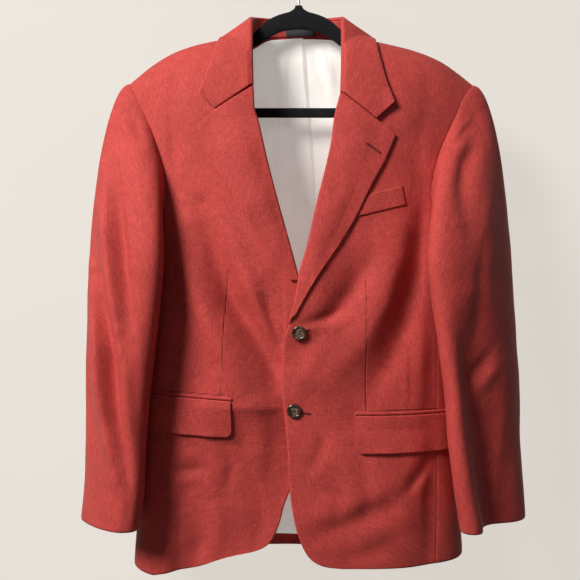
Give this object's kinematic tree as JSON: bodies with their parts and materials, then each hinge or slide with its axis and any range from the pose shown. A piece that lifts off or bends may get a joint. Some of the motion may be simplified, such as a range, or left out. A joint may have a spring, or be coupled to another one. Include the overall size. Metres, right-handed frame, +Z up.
{
  "type": "sport coat on hanger",
  "caption": "Single-breasted notch-lapel sport coat of red fine-weave cloth, buttoned, hanging on a slim flocked hanger with a bent wire hook",
  "frame": {"origin": "inner top of the hook, where it rests on a rail", "axes": "+Z up, the coat's front faces -Y, the wearer's left side is at +X"},
  "size_m": [0.6311, 0.1719, 0.8865],
  "materials": {
    "cloth": "fine plain weave, faint melange",
    "lining": "satin",
    "label": "woven satin",
    "horn": "mottled horn, polished",
    "flock": "flocked velvet",
    "wire": "bright plated"
  },
  "bodies": {
    "root": {"back_left": "cloth", "back_lining": "lining", "back_right": "cloth", "breast_welt": "cloth", "collar_fall": "cloth", "collar_stand": "cloth", "cuff_button_left_first": "horn", "cuff_button_left_fourth": "horn", "cuff_button_left_second": "horn", "cuff_button_left_third": "horn", "cuff_button_right_first": "horn", "cuff_button_right_fourth": "horn", "cuff_button_right_second": "horn", "cuff_button_right_third": "horn", "front_button_lower": "horn", "front_button_upper": "horn", "front_left": "cloth", "front_right": "cloth", "hanger_body": "flock", "hanger_hook": "wire", "lapel_left": "cloth", "lapel_right": "cloth", "neck_label": "label", "pocket_flap_left": "cloth", "pocket_flap_right": "cloth", "pocket_jet_left": "cloth", "pocket_jet_right": "cloth", "side_panel_left": "cloth", "side_panel_right": "cloth", "top_sleeve_left": "cloth", "top_sleeve_right": "cloth", "under_sleeve_left": "cloth", "under_sleeve_right": "cloth"}
  },
  "joints": []
}
